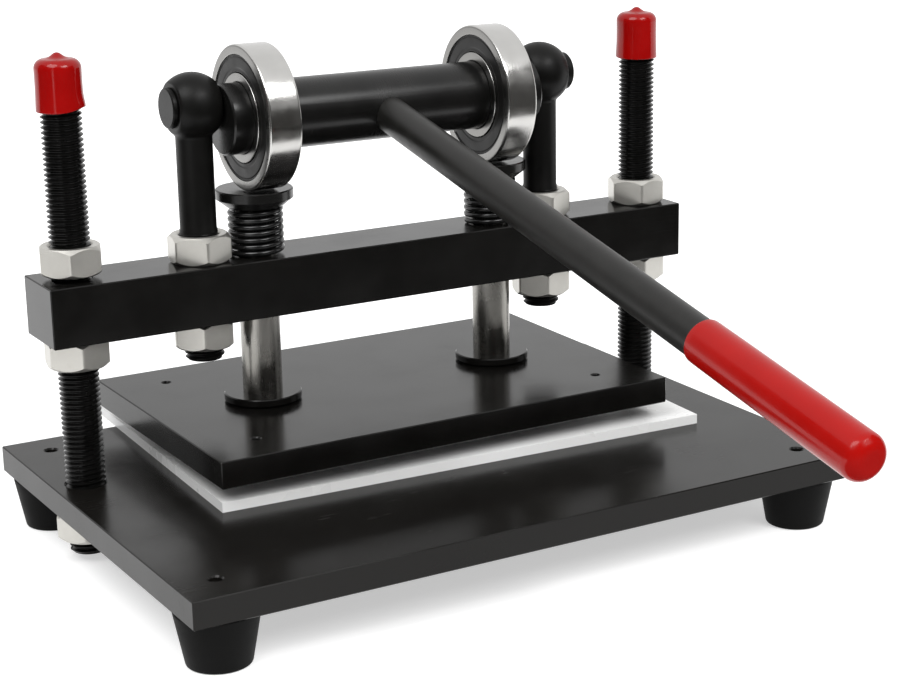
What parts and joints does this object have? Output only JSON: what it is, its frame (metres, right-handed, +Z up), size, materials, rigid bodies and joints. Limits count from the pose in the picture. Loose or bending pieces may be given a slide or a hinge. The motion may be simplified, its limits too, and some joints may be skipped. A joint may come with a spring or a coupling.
{
  "type": "hand lever press",
  "caption": "Hand lever press for cutting leather: an eccentric shaft with ball bearings pushes a sprung pressure plate on to a cutting board, under a crossbeam on threaded columns",
  "frame": {"origin": "middle of the bounding box at table height", "axes": "X along the crossbeam, the lever points to -Y, Z up"},
  "size_m": [0.3614, 0.4966, 0.2505],
  "materials": {
    "black_steel": "satin blackened steel",
    "black_thread": "blackened thread",
    "dark_eyebolt": "satin blackened steel",
    "black_shaft": "soft-sheen blackened steel",
    "charcoal_bar": "matt blackened steel",
    "zinc_steel": "white zinc plating",
    "chrome_steel": "polished",
    "bearing_steel": "ground and polished",
    "cage_steel": "pressed steel",
    "spring_wire": "glossy black",
    "seal_rubber": "matt",
    "foot_rubber": "matt",
    "red_vinyl": "glossy",
    "red_grip": "satin",
    "board_plastic": "semi-gloss"
  },
  "bodies": {
    "base": {"base_plate": "black_steel", "foot_front_left": "foot_rubber", "foot_front_right": "foot_rubber", "foot_back_left": "foot_rubber", "foot_back_right": "foot_rubber", "foot_screws": "zinc_steel", "foot_washers": "zinc_steel", "column_left": "black_thread", "column_right": "black_thread", "column_base_nuts": "zinc_steel", "cap_left": "red_vinyl", "cap_right": "red_vinyl"},
    "beam": {"crossbeam": "black_steel", "column_lower_nuts": "zinc_steel", "column_upper_nuts": "zinc_steel", "eyebolt_left": "dark_eyebolt", "eyebolt_right": "dark_eyebolt", "eyebolt_lower_nuts": "zinc_steel", "eyebolt_upper_nuts": "zinc_steel"},
    "camshaft": {"cam_shaft": "black_shaft", "cam_pin_left": "black_shaft", "cam_pin_right": "black_shaft", "lever": "charcoal_bar", "lever_grip": "red_grip", "bearing_left_inner_ring": "bearing_steel", "bearing_right_inner_ring": "bearing_steel"},
    "bearing_left": {"bearing_left_outer_ring": "bearing_steel", "bearing_left_seal_outboard": "seal_rubber", "bearing_left_seal_inboard": "seal_rubber"},
    "bearing_right": {"bearing_right_outer_ring": "bearing_steel", "bearing_right_seal_outboard": "seal_rubber", "bearing_right_seal_inboard": "seal_rubber"},
    "bearing_left_balls": {"bearing_left_balls": "bearing_steel", "bearing_left_cage": "cage_steel"},
    "bearing_right_balls": {"bearing_right_balls": "bearing_steel", "bearing_right_cage": "cage_steel"},
    "press": {"pressure_plate": "black_steel", "plunger_rod_left": "chrome_steel", "plunger_rod_right": "chrome_steel", "plunger_head_left": "black_shaft", "plunger_head_right": "black_shaft", "plunger_collar_left": "black_shaft", "plunger_collar_right": "black_shaft", "plunger_screws": "zinc_steel", "spring_left": "spring_wire", "spring_right": "spring_wire"},
    "board": {"cutting_board": "board_plastic"}
  },
  "joints": [
    {"name": "beam_height", "type": "slide", "parent": "base", "child": "beam", "axis": [0, 0, 1], "range_m": [0, 0.05]},
    {"name": "lever_swing", "type": "hinge", "parent": "beam", "child": "camshaft", "pos_m": [0, 0.14534, 0.2194], "axis": [1, 0, 0], "range_deg": [-90, 17]},
    {"name": "press_slide", "type": "slide", "parent": "beam", "child": "press", "axis": [0, 0, 1], "range_m": [-0.0018, 0.0088], "deforming": ["spring_left", "spring_right"]},
    {"name": "board_slide", "type": "slide", "parent": "base", "child": "board", "axis": [0, -1, 0], "range_m": [0, 0.2]},
    {"name": "bearing_left_spin", "type": "hinge", "parent": "camshaft", "child": "bearing_left", "pos_m": [-0.0672, 0.13994, 0.2122], "axis": [1, 0, 0], "continuous": true},
    {"name": "bearing_left_balls_spin", "type": "hinge", "parent": "camshaft", "child": "bearing_left_balls", "pos_m": [-0.0672, 0.13994, 0.2122], "axis": [1, 0, 0], "continuous": true},
    {"name": "bearing_right_spin", "type": "hinge", "parent": "camshaft", "child": "bearing_right", "pos_m": [0.0652, 0.13994, 0.2122], "axis": [1, 0, 0], "continuous": true},
    {"name": "bearing_right_balls_spin", "type": "hinge", "parent": "camshaft", "child": "bearing_right_balls", "pos_m": [0.0652, 0.13994, 0.2122], "axis": [1, 0, 0], "continuous": true}
  ],
  "couplings": [
    {"joint": "press_slide", "follows": "lever_swing", "m_per_rad": -0.0054},
    {"joint": "bearing_left_balls_spin", "follows": "bearing_left_spin", "ratio": 0.604},
    {"joint": "bearing_right_balls_spin", "follows": "bearing_right_spin", "ratio": 0.604}
  ]
}
